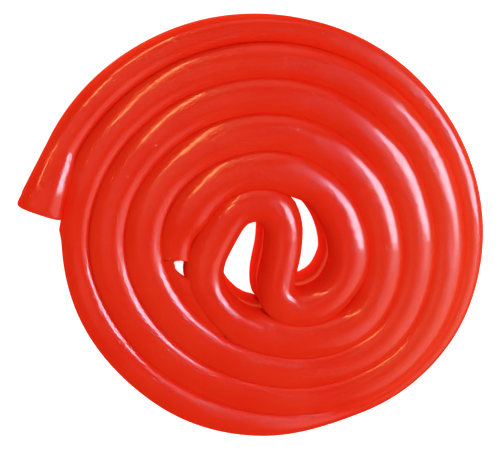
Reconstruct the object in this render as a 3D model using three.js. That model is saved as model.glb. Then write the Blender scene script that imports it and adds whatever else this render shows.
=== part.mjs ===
// A gummy strawberry wheel: one long fruit gum lace wound flat.
// The lace is a twin, two round strings joined one above the other, and it is one piece from
// its inner end to its outer end. The inner end lies against the first turn, runs clockwise to
// the heart of the wheel, folds over into an S, and then winds outwards, anticlockwise seen
// from above, to a cut end that stands off the wheel at the left.
// Millimetres, +Z up. The origin is the middle of the underside, which is pressed flat.

import * as THREE from 'three';

// ---- The lace: sizes of one string where nothing presses on it ----
const STRING_WIDTH = 4.5;
const STRING_HEIGHT = 4.4;
const SLUMP = 0.5; // how far a string's height follows its width where the lace is pulled thin
const MELT = 0.05; // share of a string's height by which the two strings sink into each other
const NECK = 0.64; // width of the neck between the strings, as a share of the string's width
const PRESSED_FLAT = 0.25; // how much of the underside is pressed away against the table
const TURN_GAP = 0.2; // clear space between neighbouring turns
const CREASE = 0.88; // inside a tight bend, half width over the bend's radius at most

// ---- The winding: distance from the hub to the lace's tangent line, by the heading of the
//      lace's outward side in degrees, 0 to the right and anticlockwise ----
const HUB = new THREE.Vector3(1.89, -0.88, 0);
const FIRST_REACH = 8.64;
const PITCH = 4.5; // from one turn to the next, at the heart
const PITCH_LOSS = 0.1156; // the lace is pulled a little thinner with every turn
const OVAL = 1.08;
const OVAL_AT = 143.3;
const BULGE = 0.34; // a faint three-sided swelling on top of the oval
const BULGE_AT = 66.1;

// ---- Where the lace is, as headings along the winding ----
const INNER_CUT = 194;
const FOLD_RIGHT = 0; // the inner end's run meets the fold here
const FOLD_LEFT = 235; // the long run leaves the fold here
const OUTER_TURN_END = 1592;

// ---- The fold at the heart: the S between both runs, from the right to the left ----
const FOLD = [
  [8.92, -6.32], [6.04, -8.1], [3.42, -7.95], [1.91, -6.23], // round the right hand bend
  [2.53, -0.7], // up the middle strand
  [2.29, 2.55], [-0.13, 4.6], [-2.99, 4.07], // over the left hand bend
  [-5.3, 0.67], [-6.67, -2.96], [-6.15, -6.36], // down its left side
].map(([x, y]) => new THREE.Vector3(x, y, 0));

// ---- The inner end: it narrows to its cut, past which a thin flap runs on ----
const TIP_WIDTH = 2.7;
const TIP_LENGTH = 45; // degrees over which it narrows
const FLAP_WIDTH = 1.5;
const FLAP_END = 222;

// ---- The last turn's uneven width, as shares of the lane lost at the rim: it is pressed in
//      beside the outer end, left fat below that, and pulled thin from there on ----
const UNEVEN = [
  { at: 1261, spread: 36, by: 0.1 },
  { at: 1330, spread: 40, by: -0.22 },
  { at: 1373, spread: 80, by: 0.3 },
  { at: 1495, spread: 122, by: 0.19 },
];

// ---- The outer end ----
const END_RUN = 7.9; // it runs on straight
const END_TURN = 6; // degrees by which it turns in towards the wheel
const END_WIDTH = 5.3;

// ---- Fineness ----
const HEADING_STEP = 10;
const FOLD_STEPS = 3; // stations between two points of the fold
const END_STEPS = 4;
const NECK_ANGLE = THREE.MathUtils.radToDeg(Math.acos(NECK));
const STRING_ANGLES = [-NECK_ANGLE, -NECK_ANGLE / 2, 0, 30, 60, 90, 120, 150, 180,
  180 + NECK_ANGLE / 2, 180 + NECK_ANGLE];

const radians = THREE.MathUtils.degToRad;
const smooth = (share) => THREE.MathUtils.smoothstep(share, 0, 1);
const hump = (share) => Math.cos(Math.PI / 2 * THREE.MathUtils.clamp(share, -1, 1)) ** 2;
const outward = (heading) => new THREE.Vector3(
  Math.cos(radians(heading)), Math.sin(radians(heading)), 0);

// Distance from the hub to the tangent line of the winding. A full turn on, it has grown by
// the pitch, so that every turn lies against the one before it.
function reach(heading) {
  const turns = heading / 360;
  return FIRST_REACH + PITCH * turns - PITCH_LOSS * turns ** 2
    + OVAL * Math.cos(2 * radians(heading - OVAL_AT))
    + BULGE * Math.cos(3 * radians(heading - BULGE_AT));
}

// Width of the lane that the winding leaves for the lace.
function laneWidth(heading) {
  return PITCH - 2 * PITCH_LOSS * heading / 360;
}

// Point of the winding with that heading, moved outwards by an offset. It lies at the reach
// along the heading, and at the reach's rate of change across it.
function windingPoint(heading, offset = 0) {
  const nudge = 0.01;
  const across = (reach(heading + nudge) - reach(heading - nudge)) / (2 * radians(nudge));
  return HUB.clone()
    .addScaledVector(outward(heading), reach(heading) + offset)
    .addScaledVector(outward(heading + 90), across);
}

// Headings from one to another in even steps, both included.
function headings(from, to) {
  const count = Math.round(Math.abs(to - from) / HEADING_STEP);
  return Array.from({ length: count + 1 }, (_, i) => from + (to - from) * i / count);
}

// The inner end's run. It keeps to the outer side of its lane where it narrows.
function innerRun() {
  const flap = headings(FLAP_END, INNER_CUT + 1).map((heading) => [heading, FLAP_WIDTH]);
  const run = headings(INNER_CUT, FOLD_RIGHT).map((heading) => {
    const full = smooth((INNER_CUT - heading) / TIP_LENGTH);
    return [heading, THREE.MathUtils.lerp(TIP_WIDTH, STRING_WIDTH, full)];
  });
  return [...flap, ...run].map(([heading, width]) => {
    const spare = Math.max(0, laneWidth(heading) - width);
    return { point: windingPoint(heading, spare / 2), side: outward(heading), width };
  });
}

// The S: a smooth curve through the fold's points that leaves both runs along their own line.
function fold() {
  const before = [20, 10, 0].map((back) => windingPoint(FOLD_RIGHT + back));
  const after = [0, 10, 20].map((on) => windingPoint(FOLD_LEFT + on));
  const route = [...before, ...FOLD, ...after];
  const curve = new THREE.CatmullRomCurve3(route, false, 'centripetal');
  const spans = route.length - 1;
  const stations = [];
  for (let i = 2 * FOLD_STEPS + 1; i < (spans - 2) * FOLD_STEPS; i += 1) {
    stations.push({ point: curve.getPoint(i / (spans * FOLD_STEPS)), width: STRING_WIDTH });
  }
  return stations;
}

// The long run fills its lane, and keeps to the lane's inner side where its width is uneven.
function longRun() {
  return headings(FOLD_LEFT, OUTER_TURN_END).map((heading) => {
    const settled = smooth((heading - FOLD_LEFT) / 120);
    const full = THREE.MathUtils.lerp(STRING_WIDTH, laneWidth(heading), settled);
    const lost = full * UNEVEN.reduce(
      (sum, { at, spread, by }) => sum + by * hump((heading - at) / spread), 0);
    const point = windingPoint(heading, -lost / 2);
    return { point, side: outward(heading + 180), width: full - lost };
  });
}

// The outer end runs straight on from the long run and spreads where it was cut.
function outerEnd(start) {
  const heading = OUTER_TURN_END + END_TURN;
  const side = outward(heading + 180);
  return Array.from({ length: END_STEPS }, (_, i) => {
    const share = (i + 1) / END_STEPS;
    const width = THREE.MathUtils.lerp(start.width, END_WIDTH, share);
    const point = start.point.clone().addScaledVector(outward(heading + 90), END_RUN * share);
    return { point, side, width };
  });
}

// Adds to every station its place along the lace, and in the fold its left side and its bend,
// one over the radius and above zero to the left.
function survey(stations) {
  let length = 0;
  stations.forEach((station, i) => {
    const before = stations[Math.max(i - 1, 0)].point;
    const after = stations[Math.min(i + 1, stations.length - 1)].point;
    const inStep = station.point.clone().sub(before);
    const outStep = after.clone().sub(station.point);
    length += inStep.length();
    station.length = length;
    station.bend = 0;
    if (station.side) return;
    const ahead = after.clone().sub(before).normalize();
    station.side = new THREE.Vector3(-ahead.y, ahead.x, 0);
    const turn = Math.atan2(inStep.x * outStep.y - inStep.y * outStep.x, inStep.dot(outStep));
    station.bend = turn / ((inStep.length() + outStep.length()) / 2);
  });
}

// Half width of the lace on one side, 1 or -1. Where another turn lies beside it, both give
// way in proportion to their widths; inside a tight bend the lace creases.
function halfWidth(stations, i, side) {
  const here = stations[i];
  let half = here.width / 2;
  if (here.bend * side > 0) half = Math.min(half, CREASE / Math.abs(here.bend));
  const line = new THREE.Line3();
  const nearest = new THREE.Vector3();
  for (let j = 0; j + 1 < stations.length; j += 1) {
    if (Math.abs(stations[j].length - here.length) < 3 * STRING_WIDTH) continue;
    line.set(stations[j].point, stations[j + 1].point);
    line.closestPointToPoint(here.point, true, nearest);
    nearest.sub(here.point);
    const distance = nearest.length();
    if (nearest.dot(here.side) * side < 0.7 * distance) continue;
    const share = here.width / (here.width + stations[j].width);
    half = Math.min(half, share * distance - TURN_GAP / 2);
  }
  return half;
}

// One closed ring round the lace: the upper string, then the lower one.
function ring(station, leftHalf, rightHalf) {
  const thin = 1 - Math.min(1, station.width / STRING_WIDTH);
  const height = STRING_HEIGHT * (1 - SLUMP * thin);
  const centres = [height * (1.5 - MELT) - PRESSED_FLAT, height / 2 - PRESSED_FLAT];
  return centres.flatMap((centre, lower) => STRING_ANGLES.map((degrees) => {
    const angle = radians(degrees + 180 * lower);
    const half = Math.cos(angle) > 0 ? leftHalf : rightHalf;
    const point = station.point.clone().addScaledVector(station.side, half * Math.cos(angle));
    point.z = Math.max(0, centre + height / 2 * Math.sin(angle));
    return point;
  }));
}

// A closed body through rings that all have the same number of points, with flat ends.
function skin(rings) {
  const count = rings[0].length;
  const middle = (points) => points
    .reduce((sum, point) => sum.add(point), new THREE.Vector3()).divideScalar(points.length);
  const points = [...rings.flat(), middle(rings[0]), middle(rings[rings.length - 1])];
  const first = points.length - 2;
  const last = points.length - 1;
  const faces = [];
  for (let k = 0; k < count; k += 1) {
    const next = (k + 1) % count;
    const end = (rings.length - 1) * count;
    faces.push(first, next, k, last, end + k, end + next);
    for (let row = 0; row < end; row += count) {
      faces.push(row + k, row + next, row + count + next);
      faces.push(row + k, row + count + next, row + count + k);
    }
  }
  const geometry = new THREE.BufferGeometry().setFromPoints(points);
  geometry.setIndex(faces);
  geometry.computeVertexNormals();
  return geometry;
}

function laceGeometry() {
  const winding = longRun();
  const stations = [...innerRun(), ...fold(), ...winding, ...outerEnd(winding.at(-1))];
  survey(stations);
  const halves = stations.map((_, i) => [1, -1].map((side) => halfWidth(stations, i, side)));
  return skin(stations.map((station, i) => ring(station, ...halves[i])));
}

const gummy = new THREE.MeshStandardMaterial({ color: 0xdd2a19, roughness: 0.35, metalness: 0 });
const lace = new THREE.Mesh(laceGeometry(), gummy);
lace.name = 'lace';

const wheel = new THREE.Group();
wheel.add(lace);

export default wheel;
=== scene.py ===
# %% [markdown]
# # A gummy strawberry wheel
#
# The sweet is one long fruit gum lace, wound flat into a wheel and lying on a table. The lace
# is a twin: two round strings joined one above the other, so that every turn shows one string
# from above and hides the other below it. This lesson models the lace as one surface carried
# along one long path, gives it a warm red gum with an oily gloss, and photographs it from
# nearly above.
#
# All sizes are in millimetres until a mesh is made, and then in metres.

# %% Load the solid wheel that sets the size
import bpy
import numpy as np
from mathutils import Matrix, Vector


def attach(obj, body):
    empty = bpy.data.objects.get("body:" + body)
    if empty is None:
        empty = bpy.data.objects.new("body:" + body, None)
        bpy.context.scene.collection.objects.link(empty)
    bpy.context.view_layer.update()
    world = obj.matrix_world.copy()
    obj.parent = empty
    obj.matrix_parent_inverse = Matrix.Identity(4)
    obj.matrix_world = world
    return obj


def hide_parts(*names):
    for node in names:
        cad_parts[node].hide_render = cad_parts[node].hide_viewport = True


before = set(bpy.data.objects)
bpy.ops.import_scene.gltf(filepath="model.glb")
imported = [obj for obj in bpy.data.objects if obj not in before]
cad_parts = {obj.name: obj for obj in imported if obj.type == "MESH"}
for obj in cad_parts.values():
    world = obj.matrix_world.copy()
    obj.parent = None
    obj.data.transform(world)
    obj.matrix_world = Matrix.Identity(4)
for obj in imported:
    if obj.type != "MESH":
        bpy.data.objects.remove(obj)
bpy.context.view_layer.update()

MM = 0.001


# %% [markdown]
# ## The winding
#
# A wound lace could be drawn as a spiral with a growing radius, but a hand-wound wheel is
# oval, and every turn has to lie against the turn before it. So the winding is described by
# its *reach*: how far the lace's tangent line lies from the hub, for every heading of the
# lace's outward side. Two curves whose reaches differ by a fixed amount lie exactly that far
# apart everywhere, so a reach that grows by the pitch in each turn gives turns that touch.
# Headings are in degrees, 0 to the right and anticlockwise.

# %% Measures and formula of the winding
HUB = np.array([1.89, -0.88])
FIRST_REACH = 8.64
PITCH = 4.5                     # from one turn to the next, at the heart
PITCH_LOSS = 0.1156             # the lace is pulled a little thinner with every turn
OVAL, OVAL_AT = 1.08, 143.3
BULGE, BULGE_AT = 0.34, 66.1    # a faint three-sided swelling on top of the oval


def reach(heading):
    """Distance from the hub to the tangent line: it grows by the pitch in every turn, and a
    cosine of twice and one of three times the heading make it oval and a little lopsided."""
    turns = heading / 360
    return (FIRST_REACH + PITCH * turns - PITCH_LOSS * turns ** 2
            + OVAL * np.cos(2 * np.radians(heading - OVAL_AT))
            + BULGE * np.cos(3 * np.radians(heading - BULGE_AT)))


def lane_width(heading):
    """Width that the winding leaves for the lace: the pitch, less its loss so far."""
    return PITCH - 2 * PITCH_LOSS * heading / 360


def outward(heading):
    """Unit vector of a heading: its cosine and its sine."""
    return np.stack([np.cos(np.radians(heading)), np.sin(np.radians(heading))], -1)


def winding_point(heading, offset=0.0):
    """Point of the winding: the reach along the heading, and the reach's slope across it."""
    nudge = 0.01
    slope = (reach(heading + nudge) - reach(heading - nudge)) / (2 * np.radians(nudge))
    return (HUB + outward(heading) * (reach(heading) + offset)[..., None]
            + outward(heading + 90) * slope[..., None])


print("the lane is", lane_width(0), "mm wide at the heart and", round(2 * PITCH_LOSS, 2),
      "mm narrower after every turn")

# %% [markdown]
# ## The path of the lace
#
# The lace starts at its inner end, which lies in the first lane and narrows to a cut. Past the
# cut a thin flap runs on. From there the lace runs clockwise to the heart, folds over into an
# S and then winds outwards. The runs come from the winding's formula. The S is free-hand, so
# it is a smooth curve through a few chosen points. The outer end leaves the wheel in a straight
# line.
#
# Every stretch of the path gives its points, the direction of its left side and its width.
# Where the last turn is uneven, the lace keeps to the inner side of its lane and gives up
# width at the rim.

# %% Where the stretches begin and end, and how wide they are
STRING_WIDTH = 4.5
INNER_CUT, FLAP_END = 191.0, 236.0      # headings, as are the next three
FOLD_RIGHT, FOLD_LEFT = 0.0, 235.0
OUTER_TURN_END = 1592.0
TIP_WIDTH, TIP_LENGTH = 2.8, 45.0       # width at the inner cut, degrees over which it grows
FLAP_WIDTH, FLAP_TAPER = 1.3, 16.0      # degrees over which the flap narrows to its tip
SETTLING = 120.0                        # degrees over which the lace fits its lane again
UNEVEN = [                              # heading, spread and share of the width lost at the rim
    (1261, 36, 0.12), (1330, 40, -0.2), (1373, 80, 0.32), (1425, 50, 0.05), (1495, 122, 0.19),
]


def smooth(share):
    """Smooth step from 0 to 1: three times the square less twice the cube."""
    share = np.clip(share, 0, 1)
    return share * share * (3 - 2 * share)


print("turns after the fold:", round((OUTER_TURN_END - FOLD_LEFT) / 360, 2))

# %% The inner end


def inner_run():
    """Inner end: a flap that widens with the square root of the angle from its tip, then a
    width that grows smoothly from the cut. The spare part of the lane is on its inner side."""
    heading = np.concatenate([np.arange(FLAP_END, INNER_CUT, -1),
                              np.arange(INNER_CUT - 0.5, FOLD_RIGHT + 0.5, -1)])
    from_tip = FLAP_END + 0.5 - heading      # half a degree more, so that the tip has a width
    flap = FLAP_WIDTH * np.sqrt(np.clip(from_tip / FLAP_TAPER, 0, 1))
    grown = TIP_WIDTH + (STRING_WIDTH - TIP_WIDTH) * smooth((INNER_CUT - heading) / TIP_LENGTH)
    width = np.where(heading > INNER_CUT, flap, grown)
    spare = np.maximum(0, lane_width(heading) - width)
    return winding_point(heading, spare / 2), outward(heading), width


inner_stretch = inner_run()
print("inner end:", len(inner_stretch[0]), "points")

# %% The fold at the heart
FOLD_LEAD = np.array([20.0, 10.0, 0.0])    # degrees of winding that lead into the fold's curve
FOLD_STEPS = 24                            # points in every span
FOLD = np.array([
    [8.92, -6.32], [6.04, -8.1], [3.42, -7.95], [1.91, -6.23],    # round the right hand bend
    [2.53, -0.7],                                                 # up the middle strand
    [2.29, 2.55], [-0.13, 4.6], [-2.99, 4.07],                    # over the left hand bend
    [-5.3, 0.67], [-6.67, -2.96], [-6.15, -6.36],                 # down its left side
])


def cubic(t, start, leave, stop, arrive):
    """Cubic from start to stop that leaves and arrives with given slopes: Hermite's weights."""
    return ((2 * t ** 3 - 3 * t ** 2 + 1) * start + (t ** 3 - 2 * t ** 2 + t) * leave
            + (3 * t ** 2 - 2 * t ** 3) * stop + (t ** 3 - t ** 2) * arrive)


def fold():
    """The S: a centripetal Catmull-Rom curve. Each span is a cubic whose end slopes weigh the
    neighbouring chords by the square roots of their lengths. Its side is its slope turned
    left."""
    route = np.concatenate([winding_point(FOLD_RIGHT + FOLD_LEAD), FOLD,
                            winding_point(FOLD_LEFT + FOLD_LEAD[::-1])])
    knot = np.sqrt(np.linalg.norm(np.diff(route, axis=0), axis=1))[:, None]
    slope = np.diff(route, axis=0) / knot
    bend = (route[2:] - route[:-2]) / (knot[1:] + knot[:-1])
    through = slope[:-1] - bend + slope[1:]
    leave = (through[:-1] * knot[1:-1])[1:-1, None]
    arrive = (through[1:] * knot[1:-1])[1:-1, None]
    spans = slice(2, len(route) - 3)
    start, stop = route[:-1][spans, None], route[1:][spans, None]
    t = (np.arange(FOLD_STEPS) / FOLD_STEPS)[None, :, None]
    points = cubic(t, start, leave, stop, arrive).reshape(-1, 2)
    ahead = np.gradient(points, axis=0)
    side = np.stack([-ahead[:, 1], ahead[:, 0]], -1) / np.linalg.norm(ahead, axis=1)[:, None]
    return points, side, np.full(len(points), STRING_WIDTH)


fold_stretch = fold()
print("fold:", len(fold_stretch[0]), "points")

# %% The long run and the outer end
END_RUN, END_TURN, END_WIDTH = 7.65, 6.5, 5.3    # mm, degrees towards the wheel, mm at the cut
END_LEAD = 0.4                                   # mm from the last turn to the straight line
END_POINTS = 20


def long_run():
    """Long run: the lane's width, less the uneven shares, with the loss taken at the rim. Each
    uneven share is a squared cosine that is nothing at its spread from its heading."""
    heading = np.arange(FOLD_LEFT, OUTER_TURN_END)
    settled = smooth((heading - FOLD_LEFT) / SETTLING)
    full = STRING_WIDTH + (lane_width(heading) - STRING_WIDTH) * settled
    share = sum(by * np.cos(np.pi / 2 * np.clip((heading - middle) / spread, -1, 1)) ** 2
                for middle, spread, by in UNEVEN)
    lost = full * share
    return winding_point(heading, -lost / 2), outward(heading + 180), full - lost


def outer_end(start, start_width):
    """Outer end: a straight line whose width grows in step with its length."""
    heading = np.array(OUTER_TURN_END + END_TURN)
    share = np.linspace(0, 1, END_POINTS)
    points = start + outward(heading + 90) * END_RUN * share[:, None]
    side = np.tile(outward(heading + 180), (END_POINTS, 1))
    return points, side, start_width + (END_WIDTH - start_width) * share


long_stretch = long_run()
end_start = long_stretch[0][-1] + outward(OUTER_TURN_END + 90.0) * END_LEAD
end_stretch = outer_end(end_start, long_stretch[2][-1])
print("the outer end is cut at", end_stretch[0][-1].round(2), "mm")

# %% [markdown]
# ## Even stations
#
# The stretches are laid end to end and walked again in even steps, because an even mesh takes
# an even shine. The fold is also smoothed over half a millimetre, which rounds the places
# where its spans meet. Extra stations on both sides of the inner cut keep its step sharp.

# %% Lay the stretches end to end
STEP = 0.5
BESIDE_CUT = np.array([-0.12, -0.04, 0.04, 0.12])    # mm from the cut to its extra stations

stretches = [inner_stretch, fold_stretch, long_stretch, end_stretch]
raw_points, raw_side, raw_width = (np.concatenate([stretch[k] for stretch in stretches])
                                   for k in range(3))
raw_steps = np.linalg.norm(np.diff(raw_points, axis=0), axis=1)
raw_length = np.concatenate([[0], np.cumsum(raw_steps)])
cut_at = raw_length[np.argmax(raw_width > (FLAP_WIDTH + TIP_WIDTH) / 2)]
fold_start = len(inner_stretch[0])
fold_from = raw_length[fold_start]
fold_to = raw_length[fold_start + len(fold_stretch[0]) - 1]
at = np.union1d(np.arange(0, raw_length[-1], STEP), cut_at + BESIDE_CUT)
print("the lace is", round(raw_length[-1]), "mm long and has", len(at), "stations")

# %% Walk the path in even steps
SOFT_SPAN = 12         # stations on each side that a running mean takes in
KEPT_ENDS = 6          # stations at each end that it leaves alone
FOLD_SOFTNESS = 0.5    # mm


def walk(values):
    """Values along the raw path, read at the even stations."""
    return np.stack([np.interp(at, raw_length, column) for column in values.T], -1)


def soften(values, reach_mm):
    """Running mean weighted by a bell curve of the distance; the ends stay as they are."""
    lag = np.arange(-SOFT_SPAN, SOFT_SPAN + 1)
    bell = np.exp(-0.5 * (lag * STEP / reach_mm) ** 2)
    padded = np.pad(values, ((SOFT_SPAN, SOFT_SPAN), (0, 0)), mode="edge")
    first = SOFT_SPAN + lag
    soft = sum(weight * padded[k:k + len(values)] for k, weight in zip(first, bell)) / bell.sum()
    soft[:KEPT_ENDS], soft[-KEPT_ENDS:] = values[:KEPT_ENDS], values[-KEPT_ENDS:]
    return soft


points, side, width = walk(raw_points), walk(raw_side), walk(raw_width[:, None])[:, 0]
folded = (at > fold_from) & (at < fold_to)
points[folded] = soften(points, FOLD_SOFTNESS)[folded]
ahead = np.gradient(points, at, axis=0)
ahead /= np.linalg.norm(ahead, axis=1)[:, None]
from_path = np.stack([-ahead[:, 1], ahead[:, 0]], -1)
side = np.where(folded[:, None], from_path, side)
side /= np.linalg.norm(side, axis=1)[:, None]
print("the fold takes", int(folded.sum()), "of the stations")

# %% [markdown]
# ## Where the turns press on each other
#
# The gum is soft, so two neighbouring turns share the space between their middle lines in
# proportion to their widths, and meet there in a flat wall. That rule alone makes the grooves
# between the turns, narrows the tip that is squeezed in beside the left hand bend, and flattens
# the turn that the outer end leans on. Up to the wall the string keeps a slightly fuller
# shape, which makes the groove shallow. Inside a tight bend it creases, so that its half width
# stays under the bend's radius.

# %% How far away every other turn is
FAR_ALONG = 13.5    # mm; what is closer than this along the lace is the same strand

away = points[None] - points[:, None]
distance = np.linalg.norm(away, axis=-1) + 1e-9    # never 0, because it divides
beside = np.einsum("ijk,ik->ij", away, side) / distance
other = np.abs(at[None] - at[:, None]) > FAR_ALONG
own_share = width[:, None] / (width[:, None] + width[None])
turning = np.gradient(np.unwrap(np.arctan2(ahead[:, 1], ahead[:, 0])), at)
in_flap = at < cut_at
in_tip = (at > cut_at) & (at < fold_from)
free = np.where(in_tip, STRING_WIDTH, width) / 2
print("the tightest bend has a radius of", (1 / np.abs(turning[folded]).max()).round(2), "mm")

# %% Half widths and walls on the left and on the right
TURN_GAP = -0.12       # mm; neighbours sink into each other a little
CREASE = 0.88          # inside a tight bend, half width over the bend's radius at most
CREASE_BLEND = 0.1     # mm over which the crease is rounded
LEAST_BEND = 0.02      # per mm; a gentler bend doesn't crease
FULLER = 0.32          # how much wider than its place a pressed string would like to be
FREE_AT = 1.3          # room over half width from which the lace isn't pressed at all
BESIDE = 0.7           # least cosine between the side and the way to a station that lies beside
OPEN = 99              # mm; the wall's distance where nothing lies beside
CUT_REACH = 1.5        # mm from the cut within which the walls aren't softened
WALL_SOFTNESS = 0.5    # mm over which they are softened elsewhere


def soft_min(a, b, blend):
    """Smooth smaller of two values: minus the log of the sum of their falling powers."""
    low = np.minimum(a, b)
    return low - blend * np.log(np.exp(-(a - low) / blend) + np.exp(-(b - low) / blend))


def pressed_side(hand):
    """Wall and half width on one hand, 1 for left and -1 for right. The wall is the strand's
    share of the way to the nearest other turn, measured square to that turn. The half width is
    the free one or the wall's, made fuller where the wall presses, or the crease's."""
    here = np.arange(len(at))
    room = np.where(other & (beside * hand > BESIDE), own_share * distance, OPEN)
    nearest = room.argmin(1)
    passed = np.minimum(np.abs((away[here, nearest] * ahead[nearest]).sum(-1)), STEP / 2)
    straight = np.sqrt(distance[here, nearest] ** 2 - passed ** 2) * own_share[here, nearest]
    wall = np.where(room.min(1) < OPEN, straight - TURN_GAP / 2, OPEN)
    wall = np.minimum(wall, FREE_AT * free)
    pressed = smooth((FREE_AT - wall / free) / (FREE_AT - 1))
    half = np.minimum(free, wall) * (1 + FULLER * pressed)
    bent = folded & (turning * hand > LEAST_BEND)
    creased = np.where(bent, CREASE / np.maximum(np.abs(turning), LEAST_BEND), OPEN)
    return wall, soft_min(half, creased, CREASE_BLEND)


walls, halves = (np.stack(pair, -1) for pair in zip(pressed_side(1), pressed_side(-1)))
by_cut = (np.abs(at - cut_at) < CUT_REACH)[:, None]
walls = np.where(by_cut, walls, soften(walls, WALL_SOFTNESS))
halves = np.where(by_cut, halves, soften(halves, WALL_SOFTNESS))
print("half widths from", halves.min(0).round(2), "to", halves.max(0).round(2), "mm")

# %% [markdown]
# ## The flap
#
# Past the inner cut the upper string alone runs on as a thin flap against the next turn. Its
# root reaches under that turn. Its other edge leaves a small three-cornered gap beside the cut,
# through which the table shows, and closes it after two millimetres. So its widths don't come
# from the rule of pressed turns but from a few measures. Its section is the string's, cut off
# below, and it sinks away at its tip.

# %% Widths of the flap
FLAP_ROOT = 1.7              # mm; how far the flap reaches under the turn that it lies against
FLAP_FULLER = (0.15, 1.5)    # mm by which its round top would reach past its root and its edge
FLAP_EDGE = {                # mm past the cut: mm by which it reaches towards the gap
    0: 0.45, 0.9: 0.58, 1.9: 0.4, 3.0: 0.9, 4.5: 1.9,
}

past_cut = cut_at - at[in_flap]
walls[in_flap, 0] = FLAP_ROOT
walls[in_flap, 1] = np.interp(past_cut, list(FLAP_EDGE), list(FLAP_EDGE.values()))
halves[in_flap] = walls[in_flap] + FLAP_FULLER
print("the flap is", past_cut.max().round(1), "mm long")

# %% [markdown]
# ## The section
#
# A gum string isn't a perfect circle once it lies between others: its crown is a little flat
# and its sides are pressed. Its outline is a superellipse, the curve of all points whose two
# shares, raised to a power somewhat over two, add up to one. Two of them, one above the other
# and joined by a neck, make the twin lace. The walls cut off what would reach into the next
# turn, and the lowest quarter millimetre is pressed flat against the table.

# %% Outline of the two strings
NECK = 0.64                    # width of the neck between the strings, as a share of the width
SQUARENESS = 2.5
END_SQUARENESS = (2.1, 4.0)    # the outer end slopes on its inner side, and its rim is full
END_FORM = (75.0, 45.0)        # mm before the end where that begins, and mm over which it grows
RING_HALF = 36                 # ring points on each string


def string_outline(squareness):
    """Side and height shares round one string from neck to neck, for every station. At each
    angle the cosine's and the sine's sizes are raised to two over the squareness and keep
    their signs. The neck is where the side share has come down to the neck's width."""
    neck_angle = np.arccos(NECK ** (squareness / 2))[:, None]
    angle = -neck_angle + (np.pi + 2 * neck_angle) * np.linspace(0, 1, RING_HALF)[None]
    power = 2 / squareness[:, None]
    c, s = np.cos(angle), np.sin(angle)
    return np.sign(c) * np.abs(c) ** power, np.sign(s) * np.abs(s) ** power


near_end = smooth((at - at[-1] + END_FORM[0]) / END_FORM[1])
(across, up), (across_right, up_right) = (
    string_outline(SQUARENESS + (at_end - SQUARENESS) * near_end) for at_end in END_SQUARENESS)
to_right = np.arange(RING_HALF) >= RING_HALF // 2
across, up = np.where(to_right, across_right, across), np.where(to_right, up_right, up)
across, up = np.concatenate([across, -across], 1), np.concatenate([up, -up], 1)
is_lower = np.repeat([0, 1], RING_HALF)
on_left = across > 0
print("each ring has", across.shape[1], "points")

# %% [markdown]
# The strings aren't the same all along the lace. They are lower where the lace is pulled thin
# and at the inner cut, and they waver slowly, as anything does that was laid by hand. Round the
# holes at the heart nothing holds the lower string, so it spreads into a foot. Beside the gap
# at the inner cut it is drawn in, which keeps the gap open down to the table.

# %% Heights and widths along the lace
STRING_HEIGHT = 4.4
SLUMP = 0.5                # how far the height follows the width where the lace is pulled thin
FLAP_LOW = 0.05            # share of its height that the flap and the cut beside it are lower
FLAP_SINK = 0.06           # share by which the flap's tip is lower still
CUT_LOW_OVER = 4           # mm over which the lace rises again from the cut
FOOT = 0.12                # how much wider the lower string is round the holes
FOOT_FADE = 5              # mm over which the foot begins and ends
FOOT_ENDS = (8, 15)        # mm past the fold, and past the inner cut, where it ends and begins
UNDERCUT = 0.25            # how much narrower the lower string is beside the gap
UNDERCUT_FADE = 4
UNDERCUT_END = 12          # mm past the fold
HEIGHT_WAVER = {"seed": 3, "wavelengths": (14.0, 23.0, 41.0), "size": 0.05}    # mm
WIDTH_WAVER = {"seed": 5, "wavelengths": (12.0, 19.0), "size": 0.01}    # share of the width


def unevenness(seed, wavelengths, size):
    """Slow waver along the lace: a sum of sines with chosen wavelengths and random phases."""
    rng = np.random.default_rng(seed)
    waves = [np.sin(2 * np.pi * at / length + rng.uniform(0, 2 * np.pi)) for length in wavelengths]
    return size * sum(waves) / len(waves)


def rise_and_fall(first, last, fade):
    """Two smooth steps along the lace: one up from the first place and one down to the last."""
    return smooth((at - first) / fade), smooth((last - at) / fade)


thin = 1 - np.minimum(1, width / STRING_WIDTH)
lowered = np.where(in_flap, FLAP_LOW + FLAP_SINK * (1 - width / FLAP_WIDTH),
                   FLAP_LOW * np.exp(-((at - cut_at) / CUT_LOW_OVER) ** 2))
height = STRING_HEIGHT * (1 - np.where(at > fold_from, SLUMP * thin, lowered))
height = height + unevenness(**HEIGHT_WAVER)
waver = 1 + unevenness(**WIDTH_WAVER)
mid_fold = (fold_from + fold_to) / 2
foot_left = np.minimum(*rise_and_fall(fold_from, fold_to + FOOT_ENDS[0], FOOT_FADE))
foot_right = np.minimum(*rise_and_fall(cut_at + FOOT_ENDS[1], mid_fold, FOOT_FADE))
undercut = np.multiply(*rise_and_fall(mid_fold, fold_to + UNDERCUT_END, UNDERCUT_FADE))
print("one string is", height.min().round(2), "to", height.max().round(2), "mm high")

# %% One ring for every station
MELT = 0.05                    # share of its height by which one string sinks into the other
PRESSED_FLAT = 0.25
FLAP_LEAN = 0.7                # mm by which the flap's crown lies nearer to the gap
FLAP_BOTTOM = (6.5, 7.2)       # mm; height of the flap's underside at its root and at its edge
CUT_SKEW, CUT_SPREAD = 0.6, 2.0    # slant of the inner cut, and mm over which it fades
WALL_BLEND = 0.05              # mm over which the edge of a wall is rounded


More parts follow.
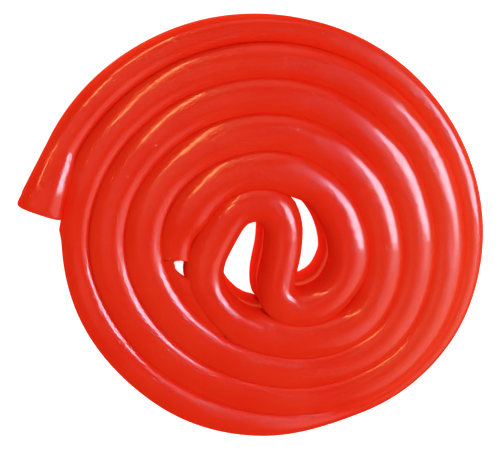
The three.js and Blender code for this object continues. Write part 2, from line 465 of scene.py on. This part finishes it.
def lace_rings():
    """Grid of points, station by ring angle: the path's point, moved along its side by the
    half width times the side share but not through the wall, at the string's middle height
    plus half its height times the height share, and never under the table or the flap."""
    half = np.where(on_left, halves[:, :1], halves[:, 1:]) * waver[:, None]
    wider = np.where(on_left, FOOT * foot_left[:, None],
                     FOOT * foot_right[:, None] - UNDERCUT * undercut[:, None])
    half = half * (1 + is_lower * wider)
    spread = half * across - FLAP_LEAN * in_flap[:, None]
    wall = np.where(spread > 0, walls[:, :1], walls[:, 1:])
    reach_out = soft_min(np.abs(spread), wall, WALL_BLEND) * np.sign(spread)
    fading = np.exp(-((at - cut_at) / CUT_SPREAD) ** 2)[:, None]
    skew = CUT_SKEW * fading * np.minimum(reach_out, 0)
    flat = points[:, None] + side[:, None] * reach_out[..., None] + ahead[:, None] * skew[..., None]
    tall = height[:, None]
    middle = np.where(is_lower[None] == 1, tall / 2, tall * (1.5 - MELT)) - PRESSED_FLAT
    lowest = np.where(in_flap[:, None], np.where(spread > 0, *FLAP_BOTTOM), 0)
    z = np.maximum(lowest, middle + tall / 2 * up)
    return np.concatenate([flat, z[..., None]], -1)


rings = lace_rings()
print("rings", rings.shape, "top at", rings[..., 2].max().round(2), "mm")

# %% [markdown]
# ## The cut ends
#
# Both ends were cut with a blade, so they are flat with a slightly rounded edge. A bevel could
# round that edge, but a few more rings of the same grid are simpler: each is the end ring,
# shrunk towards its middle and pushed ahead along a quarter circle, and the last one shrinks
# to a point.

# %% Close the ends
EDGE_ROUNDING = 0.3
ROUNDING_STEPS = 5
FLAT_RINGS = np.array([0.8, 0.55, 0.3, 0.0])    # sizes of the rings that fill the flat end


def cut_end(ring, direction):
    """Rings beyond an end ring: first a quarter circle of the edge rounding, which moves ahead
    by its sine and inwards by one minus its cosine, then flat rings down to the middle."""
    middle = ring.mean(0)
    size = np.linalg.norm(ring - middle, axis=1).mean()
    turn = np.linspace(0, np.pi / 2, ROUNDING_STEPS + 1)[1:]
    shrink = np.concatenate([1 - EDGE_ROUNDING / size * (1 - np.cos(turn)),
                             (1 - EDGE_ROUNDING / size) * FLAT_RINGS])
    push = EDGE_ROUNDING * np.concatenate([np.sin(turn), np.ones(len(FLAT_RINGS))])
    onward = np.append(direction, 0)
    grown = middle + (ring - middle) * shrink[:, None, None] + onward * push[:, None, None]
    grown[..., 2] = np.maximum(grown[..., 2], 0)
    return grown


rings = np.concatenate([cut_end(rings[0], -ahead[0])[::-1], rings, cut_end(rings[-1], ahead[-1])])
print("rings with both ends:", len(rings))

# %% [markdown]
# ## From the grid to a mesh
#
# The lace is one piece without a seam, so it becomes one closed mesh. Neighbouring rings are
# joined by four-sided faces. The first and last rings have shrunk to a point, so each is kept
# as one vertex with a fan of triangles, which leaves no hole and no doubled points.

# %% Make the mesh


def closed_mesh(name, grid):
    """Mesh through a grid of rings whose first and last ring are single points. Each face
    joins two neighbours on one ring with the same two on the next."""
    rows, count = grid.shape[:2]
    verts = np.concatenate([grid[:1, 0], grid[1:-1].reshape(-1, 3), grid[-1:, 0]]) * MM
    row = np.arange(rows - 3)[:, None] * count + 1
    k = np.arange(count)[None]
    following = (k + 1) % count
    quads = np.stack([row + k, row + following, row + count + following, row + count + k], -1)
    last = len(verts) - 1
    start_fan = np.stack([np.zeros(count, int), 1 + following[0], 1 + k[0]], -1)
    end_fan = np.stack([np.full(count, last), last - count + k[0], last - count + following[0]], -1)
    faces = quads.reshape(-1, 4).tolist() + start_fan.tolist() + end_fan.tolist()
    mesh = bpy.data.meshes.new(name)
    mesh.from_pydata(verts.tolist(), [], faces)
    mesh.validate()
    mesh.shade_smooth()
    piece = bpy.data.objects.new(name, mesh)
    bpy.context.scene.collection.objects.link(piece)
    return piece


lace = closed_mesh("gum_lace", rings)
triangles = sum(len(face.vertices) - 2 for face in lace.data.polygons)
print("gum lace:", triangles, "triangles")

# %% [markdown]
# ## The gum
#
# Fruit gum is clear red jelly with a thin film of oil. Light goes in and comes out a little
# way off, so the thin neck between the two strings shines orange in the holes, and the rim
# that faces the window is a lighter red. Subsurface scattering could do that, but it blurs the
# neck's fine line and is grainy unless it is rendered for long. So that light is painted into
# the colour: slow clouds of two reds, which are the gum's own, a painted lighter, warmer red
# towards the right for the window's light coming through, a painted warmer red on the lower
# string that turns into a painted orange band at the neck for the table's light coming through,
# and a faint painted glow at the neck's height. The base is matt, and the oil is a glossy coat
# over it. The skin is finely pebbled, so a small bump breaks the edges of the shine.

# %% Helpers for shader nodes


def node(tree, kind, **inputs):
    """New shader node with the given input values; underscores stand for spaces."""
    made = tree.nodes.new(kind)
    for name, value in inputs.items():
        made.inputs[name.replace("_", " ")].default_value = value
    return made


def ramp(tree, factor, stops):
    """Colours by factor, blended evenly between the given stops."""
    made = tree.nodes.new("ShaderNodeValToRGB")
    tree.links.new(factor, made.inputs["Fac"])
    elements = made.color_ramp.elements
    while len(elements) < len(stops):
        elements.new(0.5)
    for element, (place, colour) in zip(elements, stops.items()):
        element.position, element.color = place, (*colour, 1)
    return made.outputs["Color"]


def mixed(tree, factor, colour_a, colour_b):
    """Second colour over the first by a factor; the second is a plain colour or an output."""
    made = tree.nodes.new("ShaderNodeMix")
    made.data_type = "RGBA"
    tree.links.new(factor, made.inputs["Factor"])
    tree.links.new(colour_a, made.inputs["A"])
    if isinstance(colour_b, tuple):
        made.inputs["B"].default_value = (*colour_b, 1)
    else:
        tree.links.new(colour_b, made.inputs["B"])
    return made.outputs["Result"]


print("helpers: node, ramp and mixed")

# %% Colour of the gum
CLOUD_NOISE = {"Scale": 140.0, "Detail": 2.0}
CLOUDS = {0.35: (0.95, 0.026, 0.007), 0.65: (0.965, 0.034, 0.010)}
# painted light: a lighter, warmer red for the window's light coming through the gum on the right
PAINTED_SIDE_LIGHT_RED = (1.0, 0.055, 0.016)
PAINTED_SIDE_LIGHT_SPAN = (0.008, 0.028)    # metres to the right where that painted light begins and is full
LEVELS = 0.008                 # metres; the heights below are shares of this
WHITE, BLACK = (1.0, 1.0, 1.0), (0.0, 0.0, 0.0)
# painted light by height, for the table's light coming through: a warmer red on the lower string,
# then a painted orange band at the neck; the ramp after it fades that painted light out above the
# neck
LOWER_STRING_PAINTED_LIGHT = {0.44: (0.94, 0.055, 0.018), 0.47: (0.98, 0.13, 0.04)}
PAINTED_LIGHT_ENDS = {0.54: WHITE, 0.62: BLACK}
# painted glow at the neck, for the table's light coming through it; the gum has no light of its own
NECK_PAINTED_GLOW = {0.44: BLACK, 0.47: (1.0, 0.3, 0.15), 0.53: (1.0, 0.3, 0.15), 0.6: BLACK}


def gum_colour(tree, place):
    """Base colour and glow: noise chooses between two reds, a painted light warms them towards the
    right, and the height brings in the lower string's painted light and the neck's painted glow."""
    clouds = node(tree, "ShaderNodeTexNoise", **CLOUD_NOISE)
    tree.links.new(place, clouds.inputs["Vector"])
    reds = ramp(tree, clouds.outputs["Fac"], CLOUDS)
    where = tree.nodes.new("ShaderNodeSeparateXYZ")
    tree.links.new(place, where.inputs["Vector"])
    painted_side_light_mask = node(tree, "ShaderNodeMapRange", From_Min=PAINTED_SIDE_LIGHT_SPAN[0], From_Max=PAINTED_SIDE_LIGHT_SPAN[1])
    painted_side_light_mask.interpolation_type = "SMOOTHSTEP"
    tree.links.new(where.outputs["X"], painted_side_light_mask.inputs["Value"])
    level = node(tree, "ShaderNodeMapRange", From_Max=LEVELS)
    tree.links.new(where.outputs["Z"], level.inputs["Value"])
    # painted light: the reds turn lighter and warmer towards the right, for the window's light
    # coming through
    upper = mixed(tree, painted_side_light_mask.outputs["Result"], reds, PAINTED_SIDE_LIGHT_RED)
    # painted light: below the neck the lower string's painted orange takes over, for the table's
    # light coming through, and the neck gets a painted glow
    below = ramp(tree, level.outputs["Result"], PAINTED_LIGHT_ENDS)
    lower = ramp(tree, level.outputs["Result"], LOWER_STRING_PAINTED_LIGHT)
    return mixed(tree, below, upper, lower), ramp(tree, level.outputs["Result"], NECK_PAINTED_GLOW)


neck_band = (max(PAINTED_LIGHT_ENDS) - min(LOWER_STRING_PAINTED_LIGHT)) * LEVELS
print("the neck's band is", round(neck_band / MM, 1), "mm high")

# %% Skin of the gum
PEBBLES = {"Scale": 4200.0, "Detail": 2.0, "Roughness": 0.6}
PEBBLE_PEAKS = (0.5, 0.75)       # noise values between which a pebble rises
PEBBLE_HEIGHT = 0.0000105        # metres
GUM_SURFACE = {
    "Roughness": 0.35,
    "IOR": 1.45,
    "Specular IOR Level": 0.0,
    "Coat Weight": 0.3,
    "Coat Roughness": 0.07,
    "Coat IOR": 1.5,
    # strength of the neck's painted glow
    "Emission Strength": 0.12,
}


def pebbled_skin(tree, place):
    """Bent normals: noise, raised by a smooth step so that only its peaks stand out."""
    pebbles = node(tree, "ShaderNodeTexNoise", **PEBBLES)
    peaks = node(tree, "ShaderNodeMapRange", From_Min=PEBBLE_PEAKS[0], From_Max=PEBBLE_PEAKS[1])
    peaks.interpolation_type = "SMOOTHSTEP"
    bump = node(tree, "ShaderNodeBump", Strength=1.0, Distance=PEBBLE_HEIGHT)
    tree.links.new(place, pebbles.inputs["Vector"])
    tree.links.new(pebbles.outputs["Fac"], peaks.inputs["Value"])
    tree.links.new(peaks.outputs["Result"], bump.inputs["Height"])
    return bump.outputs["Normal"]


def red_gum():
    """The gum's material: colour with painted light and a painted glow by place, a matt base and
    an oily coat, both with the pebbled skin."""
    material = bpy.data.materials.new("red_gum")
    material.use_nodes = True
    tree = material.node_tree
    shader = tree.nodes["Principled BSDF"]
    for name, value in GUM_SURFACE.items():
        shader.inputs[name].default_value = value
    place = tree.nodes.new("ShaderNodeTexCoord").outputs["Object"]
    # the colour carries the painted light, and the glow is the neck's painted glow
    colour, glow = gum_colour(tree, place)
    skin = pebbled_skin(tree, place)
    for source, name in ((colour, "Base Color"), (glow, "Emission Color"),
                         (skin, "Normal"), (skin, "Coat Normal")):
        tree.links.new(source, shader.inputs[name])
    return material


lace.data.materials.append(red_gum())
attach(lace, "root")
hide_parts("lace")
print("the gum lace stands for the solid lace")

# %% [markdown]
# ## Camera
#
# The picture was taken close up, from nearly above and a little from the far left, so the
# turns at the left look wider than those at the right. The lens is a short telephoto at about
# twice the wheel's width. The camera is placed by its tilt, its direction and its distance from
# the point that it looks at, because those can be changed one at a time.

# %% Place the camera
PICTURE_WIDTH = 500
CAMERA_DISTANCE = 101.9
CAMERA_TILT = 18.22         # degrees from straight down
CAMERA_AZIMUTH = 119.56     # towards the far left
FOCAL_LENGTH = 870.84       # in pixels of the picture
SENSOR_WIDTH = 36.0         # mm
NEAREST_SEEN = 0.001        # metres
AIM = Vector((-1.4, 1.44, 6.13)) * MM


def picture_camera():
    """Camera that looks straight down, tilted about the level line square to its azimuth."""
    towards = outward(np.array(CAMERA_AZIMUTH))
    tilt = Matrix.Rotation(np.radians(CAMERA_TILT), 4, Vector((-towards[1], towards[0], 0)))
    data = bpy.data.cameras.new("picture_camera")
    data.sensor_width = SENSOR_WIDTH
    data.lens = SENSOR_WIDTH * FOCAL_LENGTH / PICTURE_WIDTH
    data.clip_start = NEAREST_SEEN
    made = bpy.data.objects.new("picture_camera", data)
    bpy.context.scene.collection.objects.link(made)
    back_off = Matrix.Translation(Vector((0, 0, CAMERA_DISTANCE * MM)))
    made.matrix_world = Matrix.Translation(AIM) @ tilt @ back_off
    bpy.context.scene.camera = made
    return made


camera = picture_camera()
place = [round(value / MM, 1) for value in camera.matrix_world.translation]
print("camera at", place, "mm, lens", round(camera.data.lens, 1))

# %% [markdown]
# ## Table
#
# The table is plain and white, with a glow of its own so that it stays white in the holes. The
# gloss doesn't see it, because a bright table would draw a pale line along every rim.

# %% Table
TABLE_SIZE = 2.0            # metres
TABLE_WHITE, TABLE_ROUGHNESS, TABLE_GLOW = 0.93, 0.9, 0.95


def table():
    """Level square in the plane of the wheel's underside."""
    far = TABLE_SIZE / 2
    mesh = bpy.data.meshes.new("table")
    mesh.from_pydata([(-far, -far, 0), (far, -far, 0), (far, far, 0), (-far, far, 0)],
                     [], [(0, 1, 2, 3)])
    top = bpy.data.objects.new("table", mesh)
    bpy.context.scene.collection.objects.link(top)
    material = bpy.data.materials.new("white_table")
    material.use_nodes = True
    shader = material.node_tree.nodes["Principled BSDF"]
    shader.inputs["Base Color"].default_value = (TABLE_WHITE, TABLE_WHITE, TABLE_WHITE, 1)
    shader.inputs["Roughness"].default_value = TABLE_ROUGHNESS
    shader.inputs["Emission Color"].default_value = (1, 1, 1, 1)
    shader.inputs["Emission Strength"].default_value = TABLE_GLOW
    mesh.materials.append(material)
    top.visible_glossy = False
    return top


print("table:", [round(value, 2) for value in table().dimensions], "m")

# %% [markdown]
# ## Lights
#
# One wide soft light overhead brings out the even red, and the gloss doesn't see it. The shine
# comes from two lights that do nothing else: a cool window at the right, which draws the wide
# pink bands on the right and the thin ones at the left, and a long warm strip lamp towards the
# upper left, which draws thin orange lines there. One real lamp gives matt light and shine
# together, but then neither can be matched without spoiling the other.

# %% Lights
LIT_POINT = Vector((0, 0, 6))    # mm; the lights face this point


def soft_light(name, place, size, radiance, colour, along=(0, 0, 1), gloss=True, diffuse=True):
    """Rectangular light that faces the wheel, with its first side along a direction. Its power
    is pi times its radiance and its area."""
    data = bpy.data.lights.new(name, "AREA")
    data.shape = "RECTANGLE"
    data.size, data.size_y = (side_mm * MM for side_mm in size)
    data.energy = np.pi * radiance * data.size * data.size_y
    data.color = colour
    light = bpy.data.objects.new(name, data)
    bpy.context.scene.collection.objects.link(light)
    back = (Vector(place) - LIT_POINT).normalized()
    first = (Vector(along) - back * back.dot(along)).normalized()
    turn = Matrix((first, back.cross(first), back)).transposed().to_4x4()
    light.matrix_world = Matrix.Translation(Vector(place) * MM) @ turn
    light.visible_glossy, light.visible_diffuse = gloss, diffuse
    return light


lights = [
    soft_light("overhead", place=(130, 0, 400), size=(500, 500), radiance=1.25,
               colour=(1, 1, 1), gloss=False),
    soft_light("window", place=(158, -10, 188), size=(96, 84), radiance=60.0,
               colour=(0.45, 0.75, 0.94), diffuse=False),
    soft_light("strip_lamp", place=(-118, 198, 400), size=(46, 400), radiance=42.0,
               colour=(1.0, 0.6, 0.22), along=(1, 0.05, 0), diffuse=False),
]
print("lights:", {light.name: round(light.data.energy, 2) for light in lights}, "watts")

# %% [markdown]
# ## The room
#
# The rest of the room is dim and even, which keeps the grooves from going black. The gloss sees
# something else: three round pale patches on a dark room, like a bright ceiling and two far
# windows. They lay a soft veil on the crowns between the bands. Real walls and lamps would need
# a whole room to be built, while a round patch is only a direction, a size and a brightness.

# %% Patches on the room
ROOM_COLOUR = (1, 0.88, 0.78, 1)
ROOM_LIGHT = 0.4
PALE_PATCHES = {       # zenith angle, heading, inner and outer radius in degrees: brightness
    (42, 80, 4, 28): 2.0,
    (8, 230, 2, 18): 1.4,
    (48, -28, 6, 28): 5.5,
}


def pale_patch(tree, towards, zenith, heading, inner_radius, outer_radius, brightness):
    """Round patch: a smooth step, from its outer to its inner radius, of the cosine of the
    angle between a direction and the patch's middle."""
    middle = (*np.sin(np.radians(zenith)) * outward(float(heading)), np.cos(np.radians(zenith)))
    cosine = tree.nodes.new("ShaderNodeVectorMath")
    cosine.operation = "DOT_PRODUCT"
    cosine.inputs[1].default_value = middle
    tree.links.new(towards, cosine.inputs[0])
    patch = node(tree, "ShaderNodeMapRange", From_Min=np.cos(np.radians(outer_radius)),
                 From_Max=np.cos(np.radians(inner_radius)), To_Max=brightness)
    patch.interpolation_type = "SMOOTHSTEP"
    tree.links.new(cosine.outputs["Value"], patch.inputs["Value"])
    return patch.outputs["Result"]


def brightness_of_patches(tree):
    """Sum of all patches for every direction of the room."""
    towards = tree.nodes.new("ShaderNodeTexCoord").outputs["Generated"]
    total = None
    for measures, brightness in PALE_PATCHES.items():
        patch = pale_patch(tree, towards, *measures, brightness)
        if total:
            added = tree.nodes.new("ShaderNodeMath")
            tree.links.new(total, added.inputs[0])
            tree.links.new(patch, added.inputs[1])
            patch = added.outputs["Value"]
        total = patch
    return total


print("patches:", len(PALE_PATCHES))

# %% The room


def pale_room():
    """World that gives matt surfaces an even light and shows the gloss the patches."""
    world = bpy.data.worlds.new("room")
    world.use_nodes = True
    world.cycles.sampling_method = "NONE"
    tree = world.node_tree
    background = tree.nodes["Background"]
    background.inputs["Color"].default_value = ROOM_COLOUR
    strength = node(tree, "ShaderNodeMix", A=ROOM_LIGHT)
    for_gloss = tree.nodes.new("ShaderNodeLightPath").outputs["Is Glossy Ray"]
    tree.links.new(for_gloss, strength.inputs["Factor"])
    tree.links.new(brightness_of_patches(tree), strength.inputs["B"])
    tree.links.new(strength.outputs["Result"], background.inputs["Strength"])
    return world


bpy.context.scene.world = pale_room()
bpy.context.scene.view_settings.view_transform = "Standard"
print("world:", bpy.context.scene.world.name)
